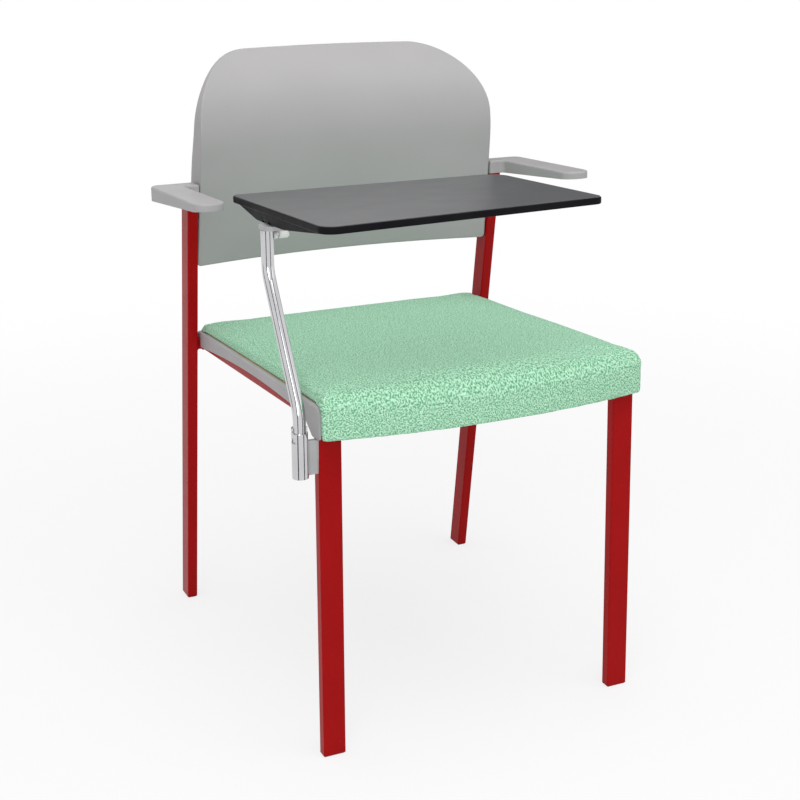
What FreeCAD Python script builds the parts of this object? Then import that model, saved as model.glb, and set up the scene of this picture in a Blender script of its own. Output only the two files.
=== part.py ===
"""Tablet arm chair: a tube frame with an upholstered seat, a hollow back, two armrests
and a writing tablet on a lift-out arm beside one front leg.

Millimetres and degrees. X runs across the chair, Y from its front to its back and Z up.
The origin is on the floor, under the middle of the chair's plan. The tablet arm is at -X.
"""
import FreeCAD
import Part
import math
import os

# Fits between pieces
face_gap = 0.3          # between faces that pass or rest on each other
plug_gap = 0.1          # all round a plug inside a tube
running_gap = 0.05      # on the radius of a shaft that turns or slides in its bore
screw_gap = 0.25        # on the radius of a screw in a clearance hole
pick_gap = 0.01         # how near to a face an edge lies to be picked for rounding
tiny = 1e-6             # shorter edges are left out

# Stance and frame tubes
front_face_y = -233.1   # front face of the front feet
front_width = 451.0     # across the outer faces of the front feet
foot_pitch = 512.0      # from the front face of a front foot to that of a rear foot
tube_wall = 1.5
least_corner = 0.5      # smallest inner corner of a tube
leg_width = 30.0
leg_depth = 15.0
leg_corner = 2.0
leg_lean_in = 0.63
leg_lean_back = 1.62
upright_width = 15.0
upright_depth = 30.0
upright_corner = 2.0
upright_lean = 8.2
upright_gap = 3.9       # from the side of the seat to the inner face of an upright
rail_height = 18.0
cross_rail_depth = 22.0
cross_rail_corner = 3.0
front_cross_place = 95.0    # behind the front end of a side rail
glide_head = 1.5
glide_inset = 1.5
glide_plug = 22.0

# Seat, drawn level in its own frame and then tilted: s runs back, t up from the rail tops
seat_rise = 458.6       # rail tops above the floor, over the front face of the front feet
seat_tilt = 3.1
pan_wall = 2.5
pan_plate = 3.0
pan_rail_gap = 0.5      # from a side rail to the pan's side wall
pan_rim = 7.5           # rim above the rail tops
pan_ledge = 6.0         # width of the rim
pan_rim_round = 4.0
pan_lip = 1.6           # least drop of the side wall below the rail tops
pan_lip_front = 11.0    # drop of the side wall behind the cheek
pan_lip_rear = 14.0     # and at its rear end
lip_fullness = 0.6      # share of the lip's length that is arched
pan_back_gap = 2.0      # from the side wall to the rear cross rail
pan_overlap = 9.0       # pan over the rear cross rail
cheek_drop = 32.5
cheek_top_round = 12.0
cheek_foot_round = 5.0
cheek_foot = 24.0       # length of the cheek's lower edge
cheek_slope = 28.0      # length of the slope from there up to the lip
skirt_face = 3.0        # front face of the skirt and of the cheeks
skirt_drop = 26.0
board_height = 4.5
board_nose = 3.0
cushion_over = 3.5      # how far the cushion's sides lie over the rim
cushion_edge = 18.4     # height of its side edges above the board, at the front
rear_edge = 11.7        # and at the rear
cushion_crown = 4.5     # rise of its middle above its side edges
rear_crown = 1.5        # and along its rear edge
crown_rise = 0.3        # share of the cushion's length over which the crown rises
cushion_places = (0.0, 0.1, 0.3, 0.5, 0.7, 0.9, 0.97)   # sections, as shares of its length
nose_turns = (0, 15, 30, 45, 60, 75, 90)    # sections round the board's nose
cushion_round = 5.0     # radius of its side edges
end_round = 12.0        # and of the ends of its front
round_power = 4         # how late the radius grows towards the front
cushion_draw_in = 2.0   # how far its sides are drawn in half-way back
front_pad = 10.7        # thickness of the pad in front of the skirt, at its ends
front_bow = 25.0        # how far the front bows out in the middle
front_pad_drop = 33.0
front_round = 20.0      # radius of the front edge, in the middle
front_end_round = 13.0  # and at its ends
hem_height = 6.0        # height over which the pad's lower edge is drawn in
hem_draw_in = 3.0

# Back shell: its sides follow the uprights, its middle is hollow and its top curls rearward
back_bottom = 541.0
back_top = 830.7
back_crown = 1.5        # rise of the top edge in its middle
back_taper = 0.03       # loss of half width for each millimetre up
back_corner = 97.0
back_foot_corner = 6.0
back_depth = 41.0
back_wall = 3.0
back_set = 2.7          # side edge behind the front face of the uprights
back_hollow = 28.0      # how far the middle is set back from the sides
back_curl = 86.3        # how far the top edge is curled rearward
curl_height = 142.7     # from the start of the curl up to the top edge
curl_power = 2.5
thin_height = 153.7     # from where the sides start to thin out up to the top edge
back_slices = 9
back_edge_round = 2.0
cover_thickness = 2.2
cover_gap = 1.0         # least room between the front wall and the cover
cover_recess = 1.0
cover_screw_inset = 60.0
cover_screw_rise = 59.0     # lower cover screws above the lower edge
cover_screw_drop = 95.7     # upper ones below the top edge

# Armrests
arm_top = 658.2         # top of an armrest over the rear edge of its pad
arm_top_slope = 3.1
arm_bottom_slope = 5.9
arm_thickness = 20.5    # at its rear end
arm_width = 41.0
arm_out = 45.3          # from the outer face of the upright to the outer edge
arm_length = 214.0
arm_rear_corner = 14.0
arm_tip_corner = 19.0
arm_inner_corner = 8.0
arm_stub_corner = 1.0
arm_stub_back = 0.5     # stub past the rear face of the upright
arm_edge_round = 3.0
arm_spigot = 26.0

# Screws
screw_radius = 2.5
screw_head_radius = 4.5
screw_head = 3.0
arm_screw_length = 21.0
insert_radius = 3.5
insert_length = 10.0
back_screw_heights = (566.0, 604.0)
seat_screw_places = (70.0, 330.0)   # behind the front end of a side rail

# Tablet arm: socket, tube and clamp
socket_out = 21.7       # from the outer face of the leg to the socket's axis
socket_ahead = 2.5      # socket axis ahead of the middle of the leg at that height
socket_bottom = 378.0
socket_length = 63.0
socket_radius = 10.0
socket_plug = 6.0
rim_cut = 6.0           # front half of the rim below its back half
slot_height = 7.0
slot_width = 12.0
slot_drop = 11.0        # slot top below the top of the socket
plate_thickness = 6.0
plate_height = 43.0
plate_drop = 17.5       # plate top below the top of the socket
arm_radius = 7.7
arm_wall = 1.5
arm_offset = 92.5       # top of the tube behind the socket
arm_bend_radius = 45.0
arm_low_run = 18.0      # lower bend above the socket
arm_high_run = 51.0     # upper bend below the tube's top
arm_foot_clear = 4.0    # arm tube's foot above the socket's base plug
arm_plug_length = 14.0
stop_pin_radius = 2.5
stop_pin_reach = 4.0    # out of the tube
stop_notch = 9.0        # depth of the rear notch in the rim
clamp_drop = 7.0        # clamp axis below the tube's top
clamp_radius = 2.0
clamp_washer_radius = 4.6
clamp_washer = 4.5
knob_gap = 3.0          # from the washer to the knob
knob_radius = 4.4
knob_length = 13.0

# Tablet, drawn level in its own frame and then tilted: v runs back, w up from its top
tablet_height = 690.0   # top of the tablet, over the line v = 0
tablet_ahead = 42.0     # that line ahead of the top of the arm tube
tablet_tilt = 3.3
tablet_out = 2.5        # outer edge of the tablet past the arm's axis
tablet_width = 373.0
tablet_thickness = 9.0
sheet_thickness = 0.8
sheet_inset = 1.5
tablet_front_outer = 144.0  # ahead of v = 0 at the outer edge
tablet_front_inner = 113.0  # and at the inner edge
tablet_rear_outer = 163.0
tablet_rear_inner = 152.0
tablet_corners = (18.0, 14.0, 30.0, 10.0)
tablet_edge_round = 1.5
housing_inset = 2.0     # from the outer edge of the tablet
housing_width = 35.0
housing_depth = 13.0
housing_front = 129.0   # ahead of v = 0
housing_rear = 138.0
housing_flat = (2.0, 66.0)  # ends of its flat underside, behind v = 0
hinge_inset = 7.0       # hinge axis in from the outer edge of the tablet
hinge_height = 7.0      # hinge axis above the bottom of the housing
hinge_pin_radius = 3.0
hinge_pin_length = 60.0
knuckle_radius = 5.0
knuckle_width = 8.0
knuckle_spread = 20.0
bracket_thickness = 5.0
bracket_in = 3.5        # middle of the bracket inward of the arm tube
bracket_width = 22.0
bracket_length = 34.0
bracket_corner = 10.0
spigot_length = 40.0
tablet_screw_radius = 2.0
tablet_screw_bite = 5.0     # screw in the board
tablet_screw_lift = 1.2     # head below the board
tablet_screw_places = (-60.0, 0.0, 45.0, 85.0)
tablet_screw_in = 11.0      # screws in from the inner side of the housing

X = FreeCAD.Vector(1, 0, 0)
nodes = {}


def at(x, y, z):
    return FreeCAD.Vector(x, y, z)


def slope(angle):
    return math.tan(math.radians(angle))


def block(x_range, y_range, z_range):
    size = [high - low for low, high in (x_range, y_range, z_range)]
    return Part.makeBox(*size, at(x_range[0], y_range[0], z_range[0]))


def rod(radius, start, end):
    run = end - start
    return Part.makeCylinder(radius, run.Length, start, run)


def pipe(radius, bore, start, end):
    return rod(radius, start, end).cut(rod(bore, start, end))


def rounded_outline(corners, place):
    """Closed wire through corners (u, v, radius); place turns (u, v) into a point in space."""
    turns = []
    for index, (u, v, radius) in enumerate(corners):
        here = at(u, v, 0)
        before = (at(*corners[index - 1][:2], 0) - here).normalize()
        after = (at(*corners[(index + 1) % len(corners)][:2], 0) - here).normalize()
        half = before.getAngle(after) / 2
        reach = radius / math.tan(half)
        inward = (before + after).normalize()
        middle = here + inward * (radius / math.sin(half) - radius)
        turns.append((here + before * reach, middle, here + after * reach))
    edges = []
    for index, (start, middle, end) in enumerate(turns):
        if (end - start).Length > tiny:
            edges.append(Part.Arc(place(start), place(middle), place(end)).toShape())
        following = turns[(index + 1) % len(turns)][0]
        if (following - end).Length > tiny:
            edges.append(Part.LineSegment(place(end), place(following)).toShape())
    return Part.Wire(Part.__sortEdges__(edges))


def prism_x(corners, low, high):
    """Prism along X over an outline of (y, z, radius) corners."""
    wire = rounded_outline(corners, lambda p: at(low, p.x, p.y))
    return Part.Face(wire).extrude(at(high - low, 0, 0))


def prism_y(corners, low, high):
    """Prism along Y over an outline of (x, z, radius) corners."""
    wire = rounded_outline(corners, lambda p: at(p.x, low, p.y))
    return Part.Face(wire).extrude(at(0, high - low, 0))


def prism_z(corners, low, high, drift=(0, 0)):
    """Prism along Z over an outline of (x, y, radius) corners, leaning by drift per millimetre."""
    shift = at(drift[0] * low, drift[1] * low, low)
    wire = rounded_outline(corners, lambda p: p + shift)
    rise = high - low
    return Part.Face(wire).extrude(at(drift[0] * rise, drift[1] * rise, rise))


def rectangle(x, y, width, depth, corner):
    """Corners of a rectangle about (x, y)."""
    signs = ((-1, -1), (1, -1), (1, 1), (-1, 1))
    return [(x + i * width / 2, y + j * depth / 2, corner) for i, j in signs]


def tube_section(x, y, width, depth, corner, inset):
    return rectangle(x, y, width - 2 * inset, depth - 2 * inset, max(corner - inset, least_corner))


def leaning_tube(section, low, high, drift):
    """Tube along Z, hollow, on a section (x, y, width, depth, corner)."""
    outer = prism_z(tube_section(*section, 0), low, high, drift)
    inner = prism_z(tube_section(*section, tube_wall), low, high, drift)
    return outer.cut(inner)


def tilted(shape, base, angle):
    """The shape turned about X so that its rear end drops by the angle, then moved to base."""
    moved = shape.copy()
    moved.Placement = FreeCAD.Placement(base, FreeCAD.Rotation(X, -angle))
    return moved


def mirrored(shape):
    return shape.mirror(at(0, 0, 0), X)


def group(shapes):
    return Part.makeCompound(shapes)


def both_sides(shapes):
    return group(shapes + [mirrored(shape) for shape in shapes])


def keep(name, shape):
    nodes[name] = shape


def keep_pair(name, shape):
    """A piece at +X and its mirror image, named for the sitter's own sides."""
    keep(name + "_left", shape)
    keep(name + "_right", mirrored(shape))


def cap_screw(seat, direction, length, radius=screw_radius):
    """Screw with a round head whose underside is at seat and whose shank runs along direction."""
    shank = rod(radius, seat, seat + direction * length)
    head = rod(radius + screw_head_radius - screw_radius, seat - direction * screw_head, seat)
    return head.fuse(shank).removeSplitter()


# Places that the pieces share
leg_drift = (-slope(leg_lean_in), slope(leg_lean_back))
upright_drift = (0, -slope(upright_lean))
leg_x = (front_width - leg_width) / 2
leg_y = front_face_y + leg_depth / 2
seat_base = at(0, front_face_y, seat_rise)
rail_mid = seat_rise - rail_height / 2
rail_x = leg_x + leg_drift[0] * rail_mid
rail_outer = rail_x + leg_width / 2
pan_half = rail_outer + pan_rail_gap + pan_wall
pan_inner = pan_half - pan_wall
upright_inner = pan_half + upright_gap
upright_x = upright_inner + upright_width / 2
upright_outer = upright_inner + upright_width
rear_face_y = front_face_y + foot_pitch
upright_y = rear_face_y + upright_depth / 2


def in_seat(shape):
    return tilted(shape, seat_base, seat_tilt)


def upright_front(z):
    """Y of the front face of an upright at height z."""
    return rear_face_y + upright_drift[1] * z


# Side rails and cross rails, in the seat's frame
rail_front = slope(leg_lean_back) * (seat_rise - rail_height)
cross_middle = (upright_front(seat_rise - foot_pitch * slope(seat_tilt) - rail_height / 2)
                + upright_depth / 2 - front_face_y)
cross_front = cross_middle - cross_rail_depth / 2
rear_cross = (cross_front, cross_middle + cross_rail_depth / 2)
front_cross_s = rail_front + front_cross_place
front_cross = (front_cross_s, front_cross_s + cross_rail_depth)


def rail(x_range, s_range, lengthwise):
    """Rail of rounded section whose top is at t = 0."""
    def bar(inset):
        corner = max(cross_rail_corner - inset, least_corner)
        t_range = (-rail_height + inset, -inset)
        low, high = s_range if not lengthwise else x_range
        corners = [(low + inset, t_range[0], corner), (high - inset, t_range[0], corner),
                   (high - inset, t_range[1], corner), (low + inset, t_range[1], corner)]
        make = prism_y if lengthwise else prism_x
        return make(corners, *(s_range if lengthwise else x_range))
    return bar(0).cut(bar(tube_wall))


side_rail = rail((rail_x - leg_width / 2, rail_outer), (rail_front, cross_front), True)
seat_screws = []
seat_screw_rooms = []
for place in seat_screw_places:
    foot = at(rail_x, rail_front + place, -rail_height)
    screw_room = rod(screw_radius + screw_gap, foot, at(foot.x, foot.y, pan_plate))
    side_rail = side_rail.cut(screw_room)
    seat_screw_rooms.append(screw_room)
    seat_screws.append(cap_screw(foot, at(0, 0, 1), rail_height + pan_plate + board_height / 2))
keep_pair("side_rail", in_seat(side_rail))
rail_inner = rail_x - leg_width / 2
keep("front_cross_rail", in_seat(rail((-rail_inner, rail_inner), front_cross, False)))
rear_cross_rail = in_seat(rail((-upright_inner, upright_inner), rear_cross, False))
keep("rear_cross_rail", rear_cross_rail)

# Front legs end under the side rails
leg_section = (leg_x, leg_y, leg_width, leg_depth, leg_corner)
above_legs = in_seat(block((0, front_width), (-seat_rise, foot_pitch), (-rail_height, seat_rise)))
keep_pair("front_leg", leaning_tube(leg_section, glide_head, seat_rise, leg_drift).cut(above_legs))

# Armrests rest on the uprights, so their lower face cuts the uprights to length
arm_rear_y = upright_front(arm_top - arm_thickness) + upright_depth + arm_stub_back
arm_tip_y = arm_rear_y - arm_length
arm_bottom = arm_top - arm_thickness
arm_tip_top = arm_top + arm_length * slope(arm_top_slope)
arm_tip_bottom = arm_bottom + arm_length * slope(arm_bottom_slope)
arm_outer = upright_outer + arm_out
arm_stub_inner = upright_inner - upright_gap / 2
arm_stub_front = upright_front(arm_bottom)


def arm_side(low, high):
    """Side view of an armrest, as a slab across X."""
    corners = [(arm_rear_y, arm_bottom, 0), (arm_rear_y, arm_top, 0),
               (arm_tip_y, arm_tip_top, 0), (arm_tip_y, arm_tip_bottom, 0)]
    return prism_x(corners, low, high)


arm_plan = [(arm_stub_inner, arm_rear_y, arm_stub_corner), (arm_outer, arm_rear_y, arm_rear_corner),
            (arm_outer, arm_tip_y, arm_tip_corner), (arm_outer - arm_width, arm_tip_y, arm_tip_corner),
            (arm_outer - arm_width, arm_stub_front, arm_inner_corner),
            (arm_stub_inner, arm_stub_front, arm_stub_corner)]
armrest = prism_z(arm_plan, 0, 2 * arm_top).common(arm_side(0, 2 * arm_outer))


def on_arm_top(vertex):
    return abs(vertex.Z - arm_top - (arm_rear_y - vertex.Y) * slope(arm_top_slope)) < pick_gap


top_edges = [edge for edge in armrest.Edges if all(on_arm_top(vertex) for vertex in edge.Vertexes)]
armrest = armrest.makeFillet(arm_edge_round, top_edges)

upright_section = (upright_x, upright_y, upright_width, upright_depth, upright_corner)
above_uprights = prism_x([(arm_rear_y + arm_length, arm_bottom - arm_length * slope(arm_bottom_slope), 0),
                          (arm_rear_y + arm_length, 2 * arm_top, 0),
                          (arm_tip_y, 2 * arm_top, 0), (arm_tip_y, arm_tip_bottom, 0)], 0, 2 * arm_outer)
upright = leaning_tube(upright_section, glide_head, arm_top, upright_drift).cut(above_uprights)
spigot_section = tube_section(*upright_section, tube_wall + plug_gap)
spigot = prism_z(spigot_section, arm_bottom - arm_spigot, arm_top, upright_drift).cut(above_uprights)

# A screw through the rear face of each upright holds the armrest's spigot
arm_screw_z = arm_bottom - arm_spigot / 2
arm_screw_seat = at(upright_x, upright_front(arm_screw_z) + upright_depth, arm_screw_z)
forward = at(0, -1, 0)
arm_screw = cap_screw(arm_screw_seat, forward, arm_screw_length)
arm_screw_hole = rod(screw_radius + screw_gap, arm_screw_seat - forward * screw_head,
                     arm_screw_seat + forward * (arm_screw_length + screw_gap))
keep_pair("armrest", armrest.fuse(spigot).removeSplitter().cut(arm_screw_hole))
rear_half = block((upright_inner, upright_outer),
                  (arm_screw_seat.y - upright_depth / 2, arm_screw_seat.y + upright_depth),
                  (arm_screw_z - arm_spigot / 4, arm_screw_z + arm_spigot / 4))
upright = upright.cut(arm_screw_hole.common(rear_half))
head_flat = rod(screw_head_radius, arm_screw_seat - forward * screw_head, arm_screw_seat)
upright = upright.cut(head_flat)
keep("armrest_screws", both_sides([arm_screw]))


# Back shell: arcs across the chair, lofted up from the lower to the upper edge
back_rim = back_wall + cover_gap + cover_thickness


def back_half(z):
    return upright_inner - face_gap - back_taper * (z - back_bottom)


def back_side(z):
    """Y of the front of the back at its side edges."""
    share = max(0.0, 1 - (back_top - z) / curl_height)
    return upright_front(z) + back_set + back_curl * share ** curl_power


def back_room(z):
    """Depth of the back at height z, which falls to the rim's depth at the top."""
    share = min(1.0, max(0.0, (back_top - z) / thin_height))
    return back_rim + (back_depth - back_rim) * share ** 2 * (3 - 2 * share)


def back_face(x, z):
    """Y of the front face of the back."""
    half = back_half(z) + back_wall
    radius = (half ** 2 + back_hollow ** 2) / (2 * back_hollow)
    return back_side(z) + back_hollow - radius + math.sqrt(radius ** 2 - x ** 2)


def back_slab(near, far, inset):
    """Part of the back between two depths behind its front face, inset at its edges."""
    sections = []
    low = back_bottom - back_wall
    step = (back_top + back_wall - low) / (back_slices - 1)
    for index in range(back_slices):
        z = low + step * index
        half = back_half(z) + back_wall
        front = [at(x, back_face(x, z) + near(z), z) for x in (-half, 0, half)]
        rear = [at(x, back_face(x, z) + far(z), z) for x in (half, 0, -half)]
        edges = [Part.Arc(*front), Part.LineSegment(front[2], rear[0]),
                 Part.Arc(*rear), Part.LineSegment(rear[2], front[0])]
        sections.append(Part.Wire([edge.toShape() for edge in edges]))
    low = back_bottom + inset
    shoulder = back_top - back_crown - inset
    foot_half = back_half(low) - inset
    top_half = back_half(shoulder) - inset
    foot_corner = back_foot_corner - inset
    top_corner = back_corner - inset
    crown_radius = (top_half - top_corner) / (2 * back_crown) * top_half
    outline = [(-foot_half, low, foot_corner), (foot_half, low, foot_corner),
               (top_half, shoulder, top_corner), (0, back_top - inset, crown_radius),
               (-top_half, shoulder, top_corner)]
    front_view = prism_y(outline, upright_front(back_top) - back_depth, rear_face_y + back_depth)
    return Part.makeLoft(sections, True, False).common(front_view)


def on_front(edge):
    """True for an edge of the front face of the back."""
    middle = edge.valueAt((edge.FirstParameter + edge.LastParameter) / 2)
    return abs(middle.y - back_face(middle.x, middle.z)) < back_rim / 4


def inside_back(depth):
    """Depth function that leaves the cover's room at the rear."""
    return lambda z: back_room(z) - depth


back_block = back_slab(lambda z: 0, back_room, 0)
back_block = back_block.makeFillet(back_edge_round, [edge for edge in back_block.Edges if on_front(edge)])
back_shell = back_block.cut(back_slab(lambda z: back_wall, lambda z: 2 * back_depth, back_wall))
back_cover = back_slab(inside_back(cover_thickness), back_room, back_wall + face_gap)
boss_room = back_slab(lambda z: back_wall / 2, inside_back(cover_thickness + face_gap), back_wall / 2)
boss_radius = insert_radius + back_wall

# Screws through the uprights into threaded inserts in the sides of the shell
back_screws = []
back_inserts = []
hole_caps = []
inward = at(-1, 0, 0)
access_radius = screw_head_radius + screw_gap
for height in back_screw_heights:
    middle_y = upright_front(height) + upright_depth / 2
    inner_face = at(upright_inner, middle_y, height)
    head_seat = inner_face - inward * tube_wall
    outer_face = at(upright_outer, middle_y, height)
    insert_start = inner_face + inward * back_wall
    insert_end = insert_start + inward * insert_length
    boss = rod(boss_radius, inner_face, insert_end + inward * back_wall)
    screw = cap_screw(head_seat, inward, (insert_end - head_seat).Length)
    screw_room = rod(screw_radius + screw_gap, head_seat, insert_end + inward * screw_gap)
    insert_room = rod(insert_radius, insert_start, insert_end)
    for turn in (Part.Shape.copy, mirrored):
        back_shell = back_shell.fuse(turn(boss)).cut(turn(screw_room)).cut(turn(insert_room))
    upright = upright.cut(screw_room).cut(rod(access_radius, head_seat, outer_face))
    back_screws.append(screw)
    back_inserts.append(insert_room.cut(rod(screw_radius, insert_start, insert_end)))
    hole_caps.append(rod(access_radius - plug_gap, outer_face + inward * tube_wall, outer_face))

keep_pair("rear_upright", upright)
keep("back_screws", both_sides(back_screws))
keep("back_inserts", both_sides(back_inserts))
keep("upright_hole_caps", both_sides(hole_caps))

# Rear cover of the back, on four posts that rise from the front wall
cover_screws = []
backward = at(0, 1, 0)
for side in (-1, 1):
    for height in (back_bottom + cover_screw_rise, back_top - cover_screw_drop):
        x = side * (back_half(height) - cover_screw_inset)
        front = at(x, back_face(x, height), height)
        depth = back_room(height)
        post = rod(boss_radius, front, front + backward * depth).common(boss_room)
        screw_seat = front + backward * (depth - cover_recess)
        screw_tip = screw_seat + forward * depth / 2
        shank_room = rod(screw_radius + screw_gap, screw_seat, screw_tip + forward * screw_gap)
        head_room = rod(screw_head_radius + screw_gap, screw_seat, screw_seat + backward * depth)
        back_shell = back_shell.fuse(post).cut(shank_room)
        back_cover = back_cover.cut(shank_room).cut(head_room)
        cover_screws.append(cap_screw(screw_seat, forward, depth / 2))
keep("back_shell", back_shell.removeSplitter())
keep("back_cover", back_cover)
keep("back_cover_screws", group(cover_screws))

# Foot glides: a plug in the tube's end and a head that meets the floor
front_glide = prism_z(tube_section(*leg_section, glide_inset), 0, glide_head, leg_drift)
front_glide = front_glide.fuse(prism_z(tube_section(*leg_section, tube_wall + plug_gap),
                                       glide_head, glide_head + glide_plug, leg_drift))
rear_glide = prism_z(tube_section(*upright_section, glide_inset), 0, glide_head, upright_drift)
rear_glide = rear_glide.fuse(prism_z(tube_section(*upright_section, tube_wall + plug_gap),
                                     glide_head, glide_head + glide_plug, upright_drift))
keep("front_foot_glides", both_sides([front_glide.removeSplitter()]))
keep("rear_foot_glides", both_sides([rear_glide.removeSplitter()]))

# Seat pan: a plate on the rails, side walls with a cheek over each leg, a rear wall and a skirt
wall_back = cross_front - pan_back_gap
pan_back = cross_front + pan_overlap
pan_deep = (skirt_face, pan_back - pan_wall)
lip_front = skirt_face + cheek_foot + cheek_slope
lip_middle = (lip_front + wall_back) / 2
lip_rise = (pan_lip_front + pan_lip_rear) / 2 - pan_lip
lip_arch = lip_fullness * (wall_back - lip_middle) ** 2 / lip_rise
rim_inner = pan_half - pan_ledge
side_view = [(wall_back, -pan_lip_rear, pan_wall / 2), (wall_back, face_gap, pan_wall / 2),
             (pan_back, face_gap, pan_wall / 2), (pan_back, pan_rim, pan_wall / 2),
             (skirt_face, pan_rim, cheek_top_round), (skirt_face, -cheek_drop, cheek_foot_round),
             (skirt_face + cheek_foot, -cheek_drop, cheek_foot_round),
             (lip_front, -pan_lip_front, cheek_top_round), (lip_middle, -pan_lip, lip_arch)]
side_wall = prism_x(side_view, rim_inner, pan_half)
rail_room = block((rim_inner, pan_inner), (skirt_face, pan_back), (-2 * cheek_drop, 0))
side_wall = side_wall.cut(rail_room)
wall_section = [(rim_inner, -2 * cheek_drop, 0), (pan_half, -2 * cheek_drop, 0),
                (pan_half, pan_rim, pan_rim_round), (rim_inner, pan_rim, 0)]
side_wall = side_wall.common(prism_y(wall_section, 0, 2 * pan_back))
across = (-rim_inner, rim_inner)
skirt_deep = (skirt_face, skirt_face + pan_wall)
seat_pan = block(across, pan_deep, (0, pan_plate))
seat_pan = seat_pan.fuse([side_wall, mirrored(side_wall),
                          block(across, (pan_deep[1], pan_back), (0, pan_rim)),
                          block((-pan_inner, pan_inner), skirt_deep, (-skirt_drop, 0)),
                          block(across, skirt_deep, (0, pan_plate))])
seat_pan = seat_pan.removeSplitter()

# Seat board, screwed down through the pan from under the rails
board_top = pan_plate + board_height
board_half = rim_inner - face_gap
board_back = pan_deep[1] - face_gap
seat_board = block((-board_half, board_half), (skirt_face, board_back), (pan_plate, board_top))
nose = [edge for edge in seat_board.Edges
        if edge.BoundBox.YMax < skirt_face + pick_gap and edge.BoundBox.ZMin > board_top - pick_gap]
seat_board = seat_board.makeFillet(board_nose, nose)
seat_pan = seat_pan.cut(both_sides(seat_screw_rooms))
seat_board = seat_board.cut(both_sides(seat_screws))
keep("seat_pan", in_seat(seat_pan))
keep("seat_board", in_seat(seat_board))
keep("seat_screws", both_sides([in_seat(screw) for screw in seat_screws]))


# Seat cushion: sections across the chair from the back, over the front edge and down the skirt
def cushion_section(s, t, lean, half, edge, crown, radius):
    """Section through (s, t), leaning forward, with rounded edges and an arc across its top."""
    radius = min(radius, edge - face_gap)
    forward_share = math.sin(math.radians(lean))
    upward_share = math.cos(math.radians(lean))

    def point(x, height):
        return at(x, s - height * forward_share, t + height * upward_share)

    cut = radius * (1 - math.sqrt(0.5))
    outline = ((half, 0), (half, edge - radius), (half - cut, edge - cut), (half - radius, edge))
    right, left = [[point(side * x, height) for x, height in outline] for side in (1, -1)]
    return Part.Wire([Part.LineSegment(left[0], left[1]).toShape(),
                      Part.Arc(*left[1:]).toShape(),
                      Part.Arc(left[3], point(0, crown), right[3]).toShape(),
                      Part.Arc(*right[:0:-1]).toShape(),
                      Part.LineSegment(right[1], right[0]).toShape(),
                      Part.LineSegment(right[0], left[0]).toShape()])


def around_nose(lean, top, front, corner):
    """Reach from the board's nose to an outline with a level top, an upright front and a round corner."""
    ahead = math.sin(math.radians(lean))
    up = math.cos(math.radians(lean))
    along = (front - corner) * ahead + (top - corner) * up
    spread = (front - corner) ** 2 + (top - corner) ** 2
    reach = along + math.sqrt(along ** 2 - spread + corner ** 2)
    if reach * up <= top - corner:
        return front / ahead
    if reach * ahead <= front - corner:
        return top / up
    return reach


nose_s = skirt_face + board_nose
nose_t = board_top - board_nose
nose_reach = board_nose + face_gap
pad_face = skirt_face - face_gap
pad_middle = front_pad + front_bow
sections = []
for share in cushion_places:
    half = board_half + cushion_over - cushion_draw_in * 4 * share * (1 - share)
    edge = rear_edge + (cushion_edge - rear_edge) * share
    crown = min(cushion_crown, rear_crown + (cushion_crown - rear_crown) * share / crown_rise)
    radius = cushion_round + (end_round - cushion_round) * share ** round_power
    s = board_back + (nose_s - board_back) * share
    sections.append(cushion_section(s, board_top + face_gap, 0, half, edge, edge + crown, radius))
nose_end = (cushion_edge + nose_reach, front_pad + nose_reach, front_end_round)
nose_middle = (cushion_edge + cushion_crown + nose_reach, pad_middle + nose_reach, front_round)
for lean in nose_turns:
    end = around_nose(lean, *nose_end) - nose_reach
    middle = around_nose(lean, *nose_middle) - nose_reach
    s = nose_s - nose_reach * math.sin(math.radians(lean))
    level = nose_t + nose_reach * math.cos(math.radians(lean))
    sections.append(cushion_section(s, level, lean, pan_half, end, middle, end_round))
pad_drops = ((front_pad_drop / 2, 0), (front_pad_drop - hem_height, 0), (front_pad_drop, hem_draw_in))
for drop, draw_in in pad_drops:
    sections.append(cushion_section(pad_face, -drop, 90, pan_half, front_pad - draw_in, pad_middle - draw_in,
                                    end_round))
cushion = Part.makeLoft(sections, True, True)
keep("seat_cushion", in_seat(cushion))

# Socket on the outer face of the leg at -X, with its plate and base plug
socket_top = socket_bottom + socket_length
socket_middle = (socket_bottom + socket_top) / 2
socket_x = -(front_width / 2 + leg_drift[0] * socket_middle + socket_out)
socket_y = leg_y + leg_drift[1] * socket_middle - socket_ahead
socket_bore = arm_radius + running_gap


def on_socket(z):
    return at(socket_x, socket_y, z)


def about_socket(x_range, y_range, z_range):
    return block([socket_x + x for x in x_range], [socket_y + y for y in y_range], z_range)


around = 2 * socket_radius
socket = pipe(socket_radius, socket_bore, on_socket(socket_bottom), on_socket(socket_top))
socket = socket.cut(about_socket((-around, around), (-around, 0), (socket_top - rim_cut, socket_top)))
slot_top = socket_top - slot_drop
slot_room = about_socket((-around, 0), (-slot_width / 2, slot_width / 2), (slot_top - slot_height, slot_top))
socket = socket.cut(slot_room)
notch_half = stop_pin_radius + face_gap
notch_room = about_socket((-notch_half, notch_half), (0, around), (socket_top - stop_notch, socket_top))
socket = socket.cut(notch_room)
keep("arm_socket", socket)
plug_top = socket_bottom + socket_plug
keep("socket_base_plug", rod(socket_bore - plug_gap, on_socket(socket_bottom), on_socket(plug_top)))
plate_top = socket_top - plate_drop
socket_plate = about_socket((0, socket_out + leg_width / 2), (-plate_thickness / 2, plate_thickness / 2),
                            (plate_top - plate_height, plate_top))
leg_solid = mirrored(prism_z(tube_section(*leg_section, 0), 0, seat_rise, leg_drift))
socket_plate = socket_plate.cut(leg_solid).cut(rod(socket_radius, on_socket(0), on_socket(seat_rise)))
keep("socket_plate", socket_plate.Solids[0])

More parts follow.
